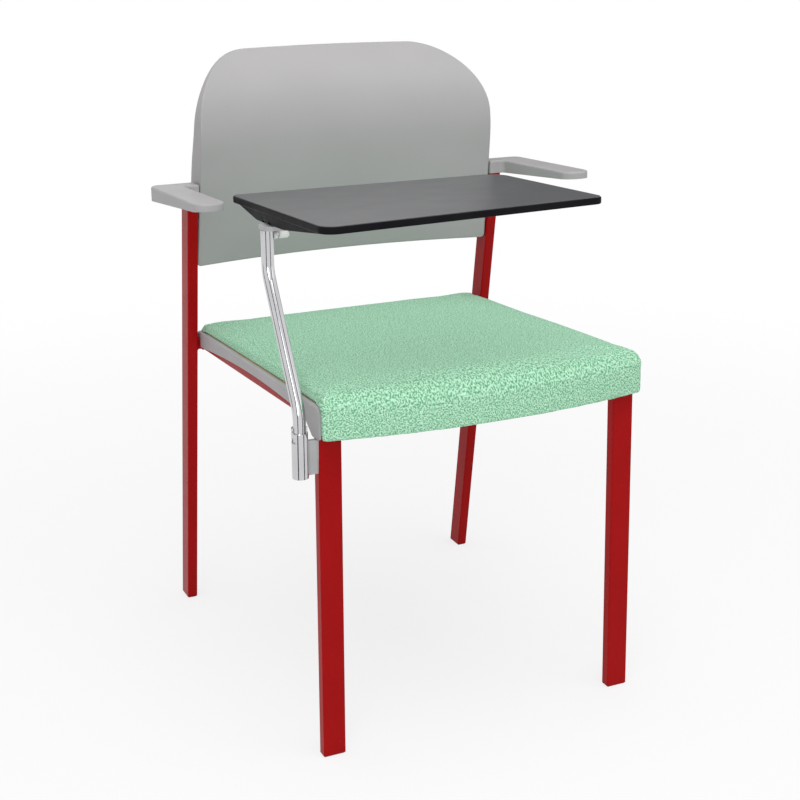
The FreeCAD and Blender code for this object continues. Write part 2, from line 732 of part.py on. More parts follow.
# Tablet frame and the places that the arm, the bracket and the housing share
arm_top_y = socket_y + arm_offset
tablet_base = at(0, arm_top_y - tablet_ahead, tablet_height)
tablet_outer = socket_x - tablet_out
tablet_inner = tablet_outer + tablet_width
housing_bottom = -tablet_thickness - housing_depth
bracket_top = housing_bottom - face_gap
bracket_bottom = bracket_top - bracket_thickness
hinge_x = tablet_outer + hinge_inset
hinge_w = housing_bottom + hinge_height
tilt_sine = math.sin(math.radians(tablet_tilt))
tilt_cosine = math.cos(math.radians(tablet_tilt))
bracket_bottom_z = tablet_height + bracket_bottom / tilt_cosine - tablet_ahead * slope(tablet_tilt)
tube_top = bracket_bottom_z - arm_radius * tilt_sine - face_gap


def in_tablet(shape):
    return tilted(shape, tablet_base, tablet_tilt)


# Arm tube: upright in the socket, bent back, and upright again under the bracket
def bent_path(points, radius):
    """Open wire of straight runs joined by arcs."""
    edges = []
    start = points[0]
    for before, here, after in zip(points, points[1:], points[2:]):
        back = (before - here).normalize()
        onward = (after - here).normalize()
        half = back.getAngle(onward) / 2
        reach = radius / math.tan(half)
        middle = here + (back + onward).normalize() * (radius / math.sin(half) - radius)
        edges.append(Part.LineSegment(start, here + back * reach).toShape())
        edges.append(Part.Arc(here + back * reach, middle, here + onward * reach).toShape())
        start = here + onward * reach
    edges.append(Part.LineSegment(start, points[-1]).toShape())
    return Part.Wire(edges)


arm_foot = plug_top + arm_foot_clear
arm_points = [on_socket(arm_foot), on_socket(socket_top + arm_low_run),
              at(socket_x, arm_top_y, tube_top - arm_high_run), at(socket_x, arm_top_y, tube_top)]
arm_path = bent_path(arm_points, arm_bend_radius)


def along_arm(radius):
    ring = Part.Wire([Part.Circle(arm_points[0], at(0, 0, 1), radius).toShape()])
    return arm_path.makePipeShell([ring], True, False)


arm_bore = arm_radius - arm_wall
pin_z = socket_top - stop_notch + face_gap + stop_pin_radius
stop_pin = rod(stop_pin_radius, on_socket(pin_z), on_socket(pin_z) + backward * (arm_radius + stop_pin_reach))
clamp_z = tube_top - clamp_drop
clamp_axis = at(socket_x, arm_top_y, clamp_z)
outward = at(1, 0, 0)
clamp_hole = rod(clamp_radius + running_gap, clamp_axis, clamp_axis + outward * around)
arm_tube = along_arm(arm_radius).cut(along_arm(arm_bore)).cut(stop_pin).cut(clamp_hole)
keep("arm_tube", arm_tube)
keep("stop_pin", stop_pin)
keep("arm_tube_plug", rod(arm_bore - plug_gap, on_socket(arm_foot), on_socket(arm_foot + arm_plug_length)))

# Clamp knob, its stem and its washer, on the sitter's side of the tube
spigot_radius = arm_bore - running_gap
washer_start = clamp_axis + outward * (arm_radius + plug_gap)
washer_end = washer_start + outward * clamp_washer
knob_start = washer_end + outward * knob_gap
knob_shoulder = knob_start + outward * (knob_length - knob_radius)
stem_start = clamp_axis + outward * (spigot_radius + face_gap)
stem_end = knob_start + outward * knob_length / 2
clamp_stem = rod(clamp_radius, stem_start, stem_end)
knob = rod(knob_radius, knob_start, knob_shoulder).fuse(Part.makeSphere(knob_radius, knob_shoulder))
keep("clamp_washer", pipe(clamp_washer_radius, clamp_radius + running_gap, washer_start, washer_end))
keep("clamp_stem", clamp_stem)
keep("clamp_knob", knob.removeSplitter().cut(clamp_stem))

# Hinge bracket: a flat block with a spigot that turns in the tube, and two knuckles on top of it
bracket_plan = rectangle(socket_x + bracket_in, tablet_ahead, bracket_width, bracket_length, bracket_corner)
bracket = prism_z(bracket_plan, bracket_bottom, bracket_top)
hinge_housing = prism_x([(-housing_front, -tablet_thickness, 0), (housing_rear, -tablet_thickness, 0),
                         (housing_flat[1], housing_bottom, hinge_height),
                         (housing_flat[0], housing_bottom, hinge_height)],
                        tablet_outer + housing_inset, tablet_outer + housing_inset + housing_width)
hinge_run = (at(hinge_x, -housing_front, hinge_w), at(hinge_x, housing_rear, hinge_w))
below_hinge = block((tablet_outer, hinge_x), (-housing_front, housing_rear), (2 * housing_bottom, hinge_w))
hinge_housing = hinge_housing.cut(below_hinge.cut(rod(hinge_height, *hinge_run)))
pin_ends = [at(hinge_x, tablet_ahead + sign * hinge_pin_length / 2, hinge_w) for sign in (-1, 1)]
hinge_pin = rod(hinge_pin_radius, *pin_ends)
knuckles = []
for sign in (-1, 1):
    knuckle_v = tablet_ahead + sign * knuckle_spread / 2
    v_range = (knuckle_v - knuckle_width / 2, knuckle_v + knuckle_width / 2)
    slot_range = (v_range[0] - face_gap, v_range[1] + face_gap)
    ends = [at(hinge_x, v, hinge_w) for v in v_range]
    web = block((hinge_x, hinge_x + knuckle_radius), v_range, (bracket_top, hinge_w))
    knuckles.append(rod(knuckle_radius, *ends).fuse(web).removeSplitter().cut(hinge_pin))
    reach = knuckle_radius + face_gap
    barrel_room = rod(reach, *[at(hinge_x, v, hinge_w) for v in slot_range])
    web_top = hinge_w + face_gap
    web_room = block((2 * tablet_outer, hinge_x + reach), slot_range, (2 * housing_bottom, web_top))
    hinge_housing = hinge_housing.cut(barrel_room).cut(web_room)
pin_slack = at(0, face_gap, 0)
pin_room = rod(hinge_pin_radius + running_gap, pin_ends[0] - pin_slack, pin_ends[1] + pin_slack)
hinge_housing = hinge_housing.cut(pin_room)
bracket = in_tablet(bracket)
spigot_top = at(socket_x, arm_top_y, tube_top + bracket_thickness / 2)
bracket = bracket.fuse(rod(spigot_radius, spigot_top - at(0, 0, spigot_length), spigot_top))
keep("hinge_bracket", bracket.removeSplitter())
keep("hinge_knuckles", in_tablet(group(knuckles)))
keep("hinge_pin", in_tablet(hinge_pin))

# Tablet board, its top sheet and the screws up through the housing
corner_places = ((tablet_outer, -tablet_front_outer, 1, 1), (tablet_inner, -tablet_front_inner, -1, 1),
                 (tablet_inner, tablet_rear_inner, -1, -1), (tablet_outer, tablet_rear_outer, 1, -1))


def tablet_plan(inset):
    return [(x + inset * i, v + inset * j, radius - inset)
            for (x, v, i, j), radius in zip(corner_places, tablet_corners)]


board = prism_z(tablet_plan(0), -tablet_thickness, -sheet_thickness)
rims = [edge for edge in board.Edges if edge.BoundBox.ZLength < pick_gap]
board = board.makeFillet(tablet_edge_round, rims)
top_sheet = prism_z(tablet_plan(sheet_inset), -sheet_thickness, 0)
tablet_screws = []
screw_x = tablet_outer + housing_inset + housing_width - tablet_screw_in
upward = at(0, 0, 1)
for place in tablet_screw_places:
    seat = at(screw_x, place, -tablet_thickness - tablet_screw_lift)
    screw = cap_screw(seat, upward, tablet_screw_lift + tablet_screw_bite, tablet_screw_radius)
    head_radius = tablet_screw_radius + screw_head_radius - screw_radius
    head_room = rod(head_radius + screw_gap, seat - upward * housing_depth, seat)
    shank_room = rod(tablet_screw_radius + screw_gap, seat, seat + upward * housing_depth)
    hinge_housing = hinge_housing.cut(head_room).cut(shank_room)
    board = board.cut(screw)
    tablet_screws.append(screw)
keep("hinge_housing", in_tablet(hinge_housing))
keep("tablet_board", in_tablet(board))
keep("tablet_top_sheet", in_tablet(top_sheet))
keep("tablet_screws", group([in_tablet(screw) for screw in tablet_screws]))

os.makedirs("parts", exist_ok=True)
for name, shape in nodes.items():
    shape.exportStep("parts/" + name + ".step")
whole = group(list(nodes.values())).BoundBox
print("box", whole)
hinge_place = in_tablet(Part.Vertex(hinge_x, tablet_ahead, hinge_w)).Point
print("socket axis", socket_x, socket_y, "arm top", arm_top_y, tube_top)
print("clamp axis", clamp_axis, "hinge", hinge_place)
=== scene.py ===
# Looks of a tablet arm chair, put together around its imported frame.
# Metres and radians. X runs across the chair, Y from its front to its back and Z up.
import math

import bmesh
import bpy
import numpy as np
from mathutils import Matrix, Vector


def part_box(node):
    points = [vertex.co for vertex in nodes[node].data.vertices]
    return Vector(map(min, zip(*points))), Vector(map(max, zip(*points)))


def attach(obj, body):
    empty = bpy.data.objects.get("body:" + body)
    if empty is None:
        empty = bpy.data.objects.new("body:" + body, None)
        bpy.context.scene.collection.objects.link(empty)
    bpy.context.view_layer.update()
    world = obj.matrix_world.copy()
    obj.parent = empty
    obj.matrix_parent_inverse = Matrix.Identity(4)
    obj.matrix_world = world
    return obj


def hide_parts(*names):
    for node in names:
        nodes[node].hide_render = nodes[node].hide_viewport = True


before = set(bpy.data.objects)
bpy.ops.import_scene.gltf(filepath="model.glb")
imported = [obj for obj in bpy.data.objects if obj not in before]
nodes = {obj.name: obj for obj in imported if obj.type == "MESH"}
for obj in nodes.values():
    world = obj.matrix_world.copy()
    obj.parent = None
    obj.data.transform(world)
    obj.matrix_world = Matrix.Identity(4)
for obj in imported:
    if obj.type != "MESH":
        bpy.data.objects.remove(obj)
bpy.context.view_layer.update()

# Tube frame: two front legs, two rear uprights, side rails and cross rails.
# Flat rectangular steel tube, cut to length, welded together and powder coated red in one piece.
# The coat is glossy with a faint orange peel, and a lighter red on its rounded edges is a painted
# highlight.
red_tones = ((0.325, 0.0040, 0.0046), (0.365, 0.0050, 0.0058))
red_edge_highlight = (0.42, 0.012, 0.014)
tube_nodes = ("front_leg_left", "front_leg_right", "rear_upright_left", "rear_upright_right",
              "side_rail_left", "side_rail_right", "front_cross_rail", "rear_cross_rail",
              "upright_hole_caps")


def feed(tree, socket, value):
    """Gives a socket a plain value, or links another node's output to it."""
    if isinstance(value, bpy.types.NodeSocket):
        tree.links.new(value, socket)
    elif isinstance(value, tuple) and len(value) == 3 and socket.type == "RGBA":
        socket.default_value = (*value, 1.0)
    else:
        socket.default_value = value


def node(tree, kind, inputs=(), **settings):
    """A shader node with its settings made and its inputs fed."""
    made = tree.nodes.new("ShaderNode" + kind)
    for name, value in settings.items():
        setattr(made, name, value)
    for socket, value in dict(inputs).items():
        feed(tree, made.inputs[socket], value)
    return made


def noise(tree, place, size, detail=2.0):
    """Soft random patches of about that size in metres."""
    made = node(tree, "TexNoise", {"Vector": place, "Scale": 1 / size, "Detail": detail})
    return made.outputs["Fac"]


def spread(tree, value, low, high, source=(0.3, 0.7)):
    """The value mapped to run from low to high."""
    made = node(tree, "MapRange", {"Value": value, "From Min": source[0], "From Max": source[1],
                                   "To Min": low, "To Max": high})
    return made.outputs["Result"]


def blend_colours(tree, share, first, second):
    made = node(tree, "Mix", data_type="RGBA")
    feed(tree, made.inputs["Factor"], share)
    feed(tree, made.inputs[6], first)
    feed(tree, made.inputs[7], second)
    return made.outputs[2]


def bare_material(name, **constants):
    """A material with its shader's plain values set; returns it with its tree and its shader."""
    material = bpy.data.materials.new(name)
    material.use_nodes = True
    tree = material.node_tree
    shader = tree.nodes["Principled BSDF"]
    for socket, value in constants.items():
        feed(tree, shader.inputs[socket.replace("_", " ")], value)
    return material, tree, shader


def hard_finish(name, tones, highlight_tone, patch, rough, grain, depth, corner, **constants):
    """Finish of a hard piece: two tones in patches, a painted highlight on its rounded edges, a grain and
    its gloss.

    Patch, grain, depth and corner are sizes in metres, and rough is the range of its roughness.
    """
    highlight_share = 0.8
    highlight_turn = (0.78, 0.98)
    material, tree, shader = bare_material(name, **constants)
    place = node(tree, "TexCoord").outputs["Object"]
    patches = noise(tree, place, patch)
    rounded = node(tree, "Bevel", {"Radius": corner}, samples=4).outputs["Normal"]
    facing = node(tree, "NewGeometry").outputs["Normal"]
    along = node(tree, "VectorMath", operation="DOT_PRODUCT")
    feed(tree, along.inputs[0], rounded)
    feed(tree, along.inputs[1], facing)
    # Painted highlight: where the bevelled normal turns away from the face, the colour goes over to the
    # lighter highlight tone.
    edge_highlight = spread(tree, along.outputs["Value"], highlight_share, 0.0, highlight_turn)
    colour = blend_colours(tree, spread(tree, patches, 0.0, 1.0), *tones)
    feed(tree, shader.inputs["Base Color"], blend_colours(tree, edge_highlight, colour, highlight_tone))
    feed(tree, shader.inputs["Roughness"], spread(tree, noise(tree, place, patch / 3), *rough))
    relief = node(tree, "Bump", {"Height": noise(tree, place, grain), "Distance": depth,
                                 "Normal": rounded})
    feed(tree, shader.inputs["Normal"], relief.outputs["Normal"])
    return material


def dress(material, *names):
    """Gives CAD nodes their finish."""
    for name in names:
        slots = nodes[name].data.materials
        slots.clear()
        slots.append(material)


red_coat = hard_finish("red_powder_coat", red_tones, red_edge_highlight, patch=0.09, rough=(0.20, 0.28),
                       grain=0.0016, depth=0.00003, corner=0.0012, Specular_IOR_Level=0.06)
dress(red_coat, *tube_nodes)

# Welds where the tubes meet: a bead round the end of each leg, side rail and cross rail.
# Run by hand in short scallops and coated with the frame; no bead is laid where the seat pan lies.
seat_front = -0.2331
seat_rise = 0.4586
seat_tilt = math.radians(3.1)
rail_height = 0.018
bead_radius = 0.0013
bead_waist = 0.80
bead_tip = 0.4
bead_scallop = 0.0030
scallop_steps = 4
bead_corner = 0.0012
bead_sides = 8
bead_start = -rail_height / 4
cut_tolerance = 0.0005
seat_back = Vector((0.0, math.cos(seat_tilt), -math.sin(seat_tilt)))
seat_up = Vector((0.0, math.sin(seat_tilt), math.cos(seat_tilt)))
across = Vector((1.0, 0.0, 0.0))


def from_seat(x, back, up):
    """Point of the chair for a place in the seat's own level frame."""
    return Vector((x, seat_front, seat_rise)) + seat_back * back + seat_up * up


def vertex_values(mesh, field):
    values = np.zeros(len(mesh.vertices) * 3, np.float32)
    mesh.vertices.foreach_get(field, values)
    return values.reshape(-1, 3).astype(float)


def in_seat(points):
    """Places in the seat's own level frame: across, back from the front of the seat, and up."""
    away = points - np.array((0.0, seat_front, seat_rise))
    return np.stack((away[:, 0], away @ np.array(seat_back), away @ np.array(seat_up)), axis=1)


def seat_span(name):
    """Lowest and highest places of a CAD node in the seat's frame."""
    places = in_seat(vertex_values(nodes[name].data, "co"))
    return places.min(axis=0), places.max(axis=0)


def lay_bead(roll, corners, plane):
    """Adds a scalloped bead along a path of corners that lies in a plane, given by its normal."""
    bends = [corners[0]]
    for before, here, after in zip(corners, corners[1:], corners[2:]):
        bends.append(here + (before - here).normalized() * bead_corner)
        bends.append(here + (after - here).normalized() * bead_corner)
    bends.append(corners[-1])
    path = []
    for start, end in zip(bends, bends[1:]):
        count = max(1, round((end - start).length * scallop_steps / bead_scallop))
        path += [start.lerp(end, step / count) for step in range(count)]
    path.append(bends[-1])
    rings = []
    for step, place in enumerate(path):
        run = (path[min(step + 1, len(path) - 1)] - path[max(step - 1, 0)]).normalized()
        side = run.cross(plane)
        bulge = abs(math.sin(math.pi * step / scallop_steps))
        radius = bead_radius * (bead_waist + (1 - bead_waist) * bulge)
        if step in (0, len(path) - 1):
            radius = bead_radius * bead_tip
        turns = [2 * math.pi * turn / bead_sides for turn in range(bead_sides)]
        rings.append([roll.verts.new(place + (side * math.cos(turn) + plane * math.sin(turn)) * radius)
                      for turn in turns])
    for ring, following in zip(rings, rings[1:]):
        for turn in range(bead_sides):
            onward = (turn + 1) % bead_sides
            roll.faces.new((ring[turn], ring[onward], following[onward], following[turn]))
    roll.faces.new(rings[0])
    roll.faces.new(reversed(rings[-1]))


def finish_beads(roll, name, material):
    """Turns the beads into a piece of the frame."""
    bmesh.ops.recalc_face_normals(roll, faces=roll.faces)
    mesh = bpy.data.meshes.new(name)
    roll.to_mesh(mesh)
    roll.free()
    mesh.polygons.foreach_set("use_smooth", [True] * len(mesh.polygons))
    mesh.materials.append(material)
    piece = bpy.data.objects.new(name, mesh)
    bpy.context.scene.collection.objects.link(piece)
    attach(piece, "frame")


roll = bmesh.new()
for side in ("left", "right"):
    leg = in_seat(vertex_values(nodes["front_leg_" + side].data, "co"))
    top = leg[leg[:, 2] > -rail_height - cut_tolerance]
    inner, outer = sorted((top[:, 0].min(), top[:, 0].max()), key=abs)
    outer -= math.copysign(bead_radius, outer)
    front, rear = top[:, 1].min(), top[:, 1].max()
    around = ((outer, front), (inner, front), (inner, rear), (outer, rear))
    lay_bead(roll, [from_seat(x, back, -rail_height) for x, back in around], seat_up)
    low, high = seat_span("side_rail_" + side)
    around = ((low[0], bead_start), (low[0], low[2]), (high[0], low[2]), (high[0], bead_start))
    lay_bead(roll, [from_seat(x, high[1], up) for x, up in around], seat_back)
for name in ("front_cross_rail", "rear_cross_rail"):
    low, high = seat_span(name)
    around = ((low[1], bead_start), (low[1], low[2]), (high[1], low[2]), (high[1], bead_start))
    for end in (low[0], high[0]):
        lay_bead(roll, [from_seat(end, back, up) for back, up in around], across)
finish_beads(roll, "frame_welds", red_coat)

# Foot glides in the four tube ends.
# Moulded black plastic plugs with a flat head that meets the floor, pushed into the tubes.
black_plastic = hard_finish("black_plastic", ((0.012, 0.012, 0.013), (0.020, 0.020, 0.021)),
                            (0.05, 0.05, 0.05), patch=0.02, rough=(0.42, 0.55),
                            grain=0.0008, depth=0.00003, corner=0.0008)
dress(black_plastic, "front_foot_glides", "rear_foot_glides")

# Seat pan, which lies on the rails and has a cheek over the top of each front leg.
# Injection-moulded grey plastic with a fine spark-eroded grain, screwed down with the seat board.
grey_tones = ((0.372, 0.362, 0.368), (0.392, 0.382, 0.388))
# The lighter edge tone is a painted highlight on the rounded edges of the grey plastic.
grey_edge_highlight = (0.50, 0.50, 0.50)
grey_plastic = hard_finish("grey_moulded_plastic", grey_tones, grey_edge_highlight, patch=0.16, rough=(0.44, 0.54),
                           grain=0.0009, depth=0.00005, corner=0.0015, Specular_IOR_Level=0.4)
dress(grey_plastic, "seat_pan")

# Seat board under the cushion, with its screws.
# Raw beech plywood: long grain on its faces, thin plies on its edges, and zinc-plated screws from below.
wood_tones = ((0.42, 0.25, 0.12), (0.62, 0.43, 0.25))
ply_height = 0.0013
grain_stretch = (6.0, 60.0, 60.0)
plywood, tree, shader = bare_material("raw_plywood")
place = node(tree, "TexCoord").outputs["Object"]
stretched = node(tree, "VectorMath", operation="MULTIPLY")
feed(tree, stretched.inputs[0], place)
feed(tree, stretched.inputs[1], grain_stretch)
fibres = node(tree, "TexNoise", {"Vector": stretched.outputs["Vector"], "Scale": 4.0, "Detail": 6.0})
fibres = fibres.outputs["Fac"]
plies = node(tree, "TexWave", {"Vector": place, "Scale": 1 / (6.3 * ply_height), "Distortion": 0.4},
             bands_direction="Z").outputs["Fac"]
ply_tone = spread(tree, plies, 0.85, 1.1, (0.0, 1.0))
streaks = node(tree, "Math", {0: fibres, 1: ply_tone}, operation="MULTIPLY").outputs[0]
wood_colour = blend_colours(tree, spread(tree, streaks, 0.0, 1.0), *wood_tones)
feed(tree, shader.inputs["Base Color"], wood_colour)
feed(tree, shader.inputs["Roughness"], spread(tree, fibres, 0.62, 0.8))
relief = node(tree, "Bump", {"Height": fibres, "Distance": 0.0001})
feed(tree, shader.inputs["Normal"], relief.outputs["Normal"])
dress(plywood, "seat_board")

zinc = hard_finish("zinc_plated_steel", ((0.50, 0.51, 0.53), (0.60, 0.61, 0.64)), (0.70, 0.70, 0.72),
                   patch=0.006, rough=(0.26, 0.38), grain=0.0006, depth=0.00002, corner=0.0004,
                   Metallic=1.0)
dress(zinc, "seat_screws")

# Seat cushion, moulded foam on the board, drawn over the front edge and down the skirt.
# Its cover is a coarse crepe weave in mint green: short floats of thread cross each other at random,
# with painted shade in the gaps between them. The cover is stretched over the foam and stapled underneath.
board_top = 0.0075
cover_voxel = 0.0045
foam_squeeze = 0.001
foam_swell = 0.003
foam_pressure = 4.0
swell_frames = 20
stapled_height = 0.003
weld_distance = 1e-5
nose_radius = 0.030
side_height = 0.0125
float_width = 0.0014
float_length = 0.0023
gap_to_float = (0.46, 0.64)
slub_run = 0.012
twist_run = 0.0006
twist_height = 0.25
float_height = 0.0003
gap_shade_green = (0.145, 0.395, 0.220)
thread_green = (0.475, 0.825, 0.585)
pale_green = (0.550, 0.880, 0.655)


def cover_mesh(source):
    """A closed mesh of even faces over the cushion's solid, made in line with the seat."""
    welded = bmesh.new()
    welded.from_mesh(source)
    bmesh.ops.remove_doubles(welded, verts=welded.verts, dist=weld_distance)
    mesh = bpy.data.meshes.new("seat_cushion_cover")
    welded.to_mesh(mesh)
    welded.free()
    mesh.vertices.foreach_set("co", in_seat(vertex_values(mesh, "co")).ravel())
    rough = bpy.data.objects.new("seat_cushion_rough", mesh)
    bpy.context.scene.collection.objects.link(rough)
    even = rough.modifiers.new("even_faces", "REMESH")
    even.mode = "VOXEL"
    even.voxel_size = cover_voxel
    shape = rough.evaluated_get(bpy.context.evaluated_depsgraph_get())
    made = bpy.data.meshes.new_from_object(shape)
    bpy.data.objects.remove(rough)
    points = vertex_values(made, "co") @ np.array((across, seat_back, seat_up))
    points += np.array((0.0, seat_front, seat_rise))
    made.vertices.foreach_set("co", points.ravel())
    made.update()
    return made


def rests(mesh):
    """True for each point on the board, the skirt or the stapled edge, where the foam can't swell."""
    level = in_seat(vertex_values(mesh, "co"))
    facing = vertex_values(mesh, "normal")
    on_board = facing @ np.array(seat_up) < -0.5
    on_skirt = (facing @ np.array(seat_back) > 0.5) & (level[:, 2] < board_top)
    at_edge = np.abs(level[:, 2] - board_top) < stapled_height
    return on_board | on_skirt | at_edge


def swell(piece, held):
    """Lets the foam push the cover out by its pressure, as far as the cushion's own space."""
    group = piece.vertex_groups.new(name="stapled")
    group.add([int(index) for index in np.nonzero(held)[0]], 1.0, "REPLACE")
    start = vertex_values(piece.data, "co")
    cloth = piece.modifiers.new("swell", "CLOTH")
    cloth.settings.vertex_group_mass = group.name
    cloth.settings.use_pressure = True
    cloth.settings.uniform_pressure_force = foam_pressure
    cloth.settings.effector_weights.gravity = 0.0
    cloth.point_cache.frame_start = 1
    cloth.point_cache.frame_end = swell_frames
    scene = bpy.context.scene
    for step in range(1, swell_frames + 1):
        scene.frame_set(step)
    shape = piece.evaluated_get(bpy.context.evaluated_depsgraph_get())
    moved = vertex_values(shape.to_mesh(), "co") - start
    shape.to_mesh_clear()
    piece.modifiers.remove(cloth)
    scene.frame_set(1)
    length = np.linalg.norm(moved, axis=1, keepdims=True)
    moved *= np.minimum(1.0, foam_swell / np.maximum(length, 1e-9))
    piece.data.vertices.foreach_set("co", (start + moved).ravel())
    piece.data.update()


def lay_weave(mesh):
    """Stores where each point lies on the flat cover: across it, and along it over the front edge."""
    x, back, up = in_seat(vertex_values(mesh, "co")).T
    on_top = back > nose_radius
    angle = np.arctan2(np.maximum(nose_radius - back, 0.0), np.maximum(up, 1e-6))
    along = np.where(on_top, nose_radius - back, nose_radius * angle) + np.maximum(-up, 0.0)
    side_drop = np.where(on_top, np.maximum(board_top + side_height - up, 0.0), 0.0)
    place = np.stack((x + np.sign(x) * side_drop, along, np.zeros_like(x)), axis=1)
    layer = mesh.attributes.new("weave", "FLOAT_VECTOR", "POINT")
    layer.data.foreach_set("vector", place.astype(np.float32).ravel())


cushion = bpy.data.objects.new("seat_cushion_cover", cover_mesh(nodes["seat_cushion"].data))
bpy.context.scene.collection.objects.link(cushion)
held = rests(cushion.data)
points = vertex_values(cushion.data, "co")
points -= vertex_values(cushion.data, "normal") * foam_squeeze * ~held[:, None]
cushion.data.vertices.foreach_set("co", points.ravel())
cushion.data.update()
swell(cushion, held)
lay_weave(cushion.data)
cushion.data.polygons.foreach_set("use_smooth", [True] * len(cushion.data.polygons))
cushion.modifiers.new("smooth_cover", "SUBSURF").render_levels = 1

fabric, tree, shader = bare_material("mint_crepe_weave", Sheen_Weight=0.25, Sheen_Roughness=0.4,
                                     Sheen_Tint=(0.75, 0.95, 0.82), Specular_IOR_Level=0.15)
flat = node(tree, "Attribute", attribute_name="weave").outputs["Vector"]
lays = []
for lie in ((float_length, float_width, 1.0), (float_width, float_length, 1.0)):
    drawn = node(tree, "VectorMath", operation="DIVIDE")
    feed(tree, drawn.inputs[0], flat)
    feed(tree, drawn.inputs[1], lie)
    lays.append(noise(tree, drawn.outputs["Vector"], 1.0, 0.0))
over = node(tree, "Math", dict(enumerate(lays)), operation="MAXIMUM").outputs[0]
height = spread(tree, over, 0.0, 1.0, gap_to_float)
slubs = noise(tree, flat, slub_run)
thread = blend_colours(tree, spread(tree, slubs, 0.0, 1.0), thread_green, pale_green)
# Painted shade: the gaps between the floats get a darker copy of the thread green.
feed(tree, shader.inputs["Base Color"], blend_colours(tree, height, gap_shade_green, thread))
feed(tree, shader.inputs["Roughness"], spread(tree, slubs, 0.78, 0.92))
twist = noise(tree, flat, twist_run)
lumps = node(tree, "Math", {0: twist, 1: twist_height, 2: height}, operation="MULTIPLY_ADD").outputs[0]
relief = node(tree, "Bump", {"Height": lumps, "Distance": float_height})
feed(tree, shader.inputs["Normal"], relief.outputs["Normal"])
cushion.data.materials.clear()
cushion.data.materials.append(fabric)
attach(cushion, "frame")
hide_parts("seat_cushion")

# Back: a hollow shell that curls rearward at its top, and the cover that closes it from behind.
# Both are moulded in the same grey plastic; screws through the uprights meet threaded inserts in the shell,
# and four screws from behind hold the cover to posts in the shell.
dress(grey_plastic, "back_shell", "back_cover")
dress(zinc, "back_screws", "back_inserts", "back_cover_screws")

# Armrests, each a flat pad on a stub that plugs into the top of its upright.
# Solid moulded grey plastic, held by a screw from behind.
dress(grey_plastic, "armrest_left", "armrest_right")
dress(zinc, "armrest_screws")

# Socket of the tablet arm, with its plate to the leg.
# Chromed steel tube with a filed rim, a drain slot and a plastic plug; the plate is painted light grey.
chrome = hard_finish("polished_chrome", ((0.56, 0.56, 0.575), (0.62, 0.62, 0.635)), (0.70, 0.70, 0.71),
                     patch=0.05, rough=(0.05, 0.10), grain=0.004, depth=0.00002, corner=0.0006,
                     Metallic=1.0)
dress(chrome, "arm_socket")
light_paint = hard_finish("light_grey_paint", ((0.37, 0.375, 0.38), (0.42, 0.425, 0.43)),
                          (0.55, 0.55, 0.55), patch=0.03, rough=(0.34, 0.44), grain=0.0012,
                          depth=0.00003, corner=0.001)
dress(light_paint, "socket_plate")
dress(black_plastic, "socket_base_plug")
plate_low, plate_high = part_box("socket_plate")
roll = bmesh.new()
for y in (plate_low.y, plate_high.y):
    for x in (plate_low.x, plate_high.x):
        ends = [Vector((x, y, plate_low.z)), Vector((x, y, plate_high.z))]
        lay_bead(roll, ends, Vector((0.0, 1.0, 0.0)))
finish_beads(roll, "socket_welds", light_paint)

# Arm tube that stands in the socket, with its foot plug and stop pin.
# Drawn steel tube, bent twice in one plane, polished and chromed; the pin drops into the socket's rim.
dress(chrome, "arm_tube")
dress(black_plastic, "arm_tube_plug")
dress(zinc, "stop_pin")

# Clamp knob just under the hinge bracket, with its stem and washer.
# A small moulded white handle on a threaded steel stem; it nips the bracket's spigot in the tube.
white_plastic = hard_finish("white_plastic", ((0.70, 0.70, 0.69), (0.78, 0.78, 0.77)), (0.85, 0.85, 0.84),
                            patch=0.01, rough=(0.24, 0.34), grain=0.0010, depth=0.00002, corner=0.0006)
dress(white_plastic, "clamp_knob", "clamp_washer")
dress(zinc, "clamp_stem")

# Hinge of the tablet: a bracket that turns on the arm tube, a pin and a boat-shaped housing.
# The bracket is a light grey casting, the pin is plain steel and the housing is moulded dark plastic.
dress(light_paint, "hinge_bracket")
dress(zinc, "hinge_pin", "tablet_screws")
dark_plastic = hard_finish("dark_moulded_plastic", ((0.008, 0.008, 0.010), (0.012, 0.012, 0.014)),
                           (0.03, 0.03, 0.034), patch=0.05, rough=(0.30, 0.40), grain=0.0008,
                           depth=0.00004, corner=0.001, Specular_IOR_Level=0.02)
dress(dark_plastic, "hinge_housing", "hinge_knuckles")

# Tablet: a board with a dark moulded edge and a laminate sheet on its top.
# The sheet is a charcoal laminate with a low sheen and a very fine pebble.
dress(dark_plastic, "tablet_board")
laminate = hard_finish("charcoal_laminate", ((0.090, 0.092, 0.096), (0.096, 0.098, 0.102)),
                       (0.16, 0.16, 0.165), patch=0.12, rough=(0.33, 0.36), grain=0.0010,
                       depth=0.00001, corner=0.0006, Specular_IOR_Level=0.35)
dress(laminate, "tablet_top_sheet")

# Studio: a wide pale floor that keeps the shadow near the chair, soft lamps, an even sky and the camera.
# Dark flags only show as bands in what is glossy. The tablet throws no shadow of the lamps and isn't
# mirrored, so the seat stays evenly lit and the chrome stays bright.
floor_reach = 40.0
floor_white = (0.90, 0.90, 0.90)
shadow_reach = (0.5, 2.2)
near_glow = 0.75
sky_fill = 0.50
lamps = (("lamp_above", (0.0, -0.6, 3.0), 3.0, 45.0), ("lamp_left", (-1.6, -2.6, 1.7), 2.2, 28.0),
         ("lamp_right", (2.2, -2.0, 1.4), 2.0, 4.0))
flags = (("flag_left", (-0.89, -0.81, 1.2), 0.22, 2.4), ("flag_right", (0.28, -0.92, 1.2), 0.22, 2.4),
         ("flag_behind", (2.60, 2.70, 1.2), 2.2, 2.4), ("flag_side", (-3.0, 1.2, 0.9), 0.6, 2.4))
passed_by_light = ("tablet_board", "tablet_top_sheet", "hinge_housing")
flag_grey = (0.05, 0.05, 0.055)
aim = Vector((0.0, 0.0, 0.5))
camera_place = Vector((-0.84695, -1.78466, 1.04055))
camera_aim = Vector((0.40213, 0.85805, -0.31945))
camera_lens = 68.08

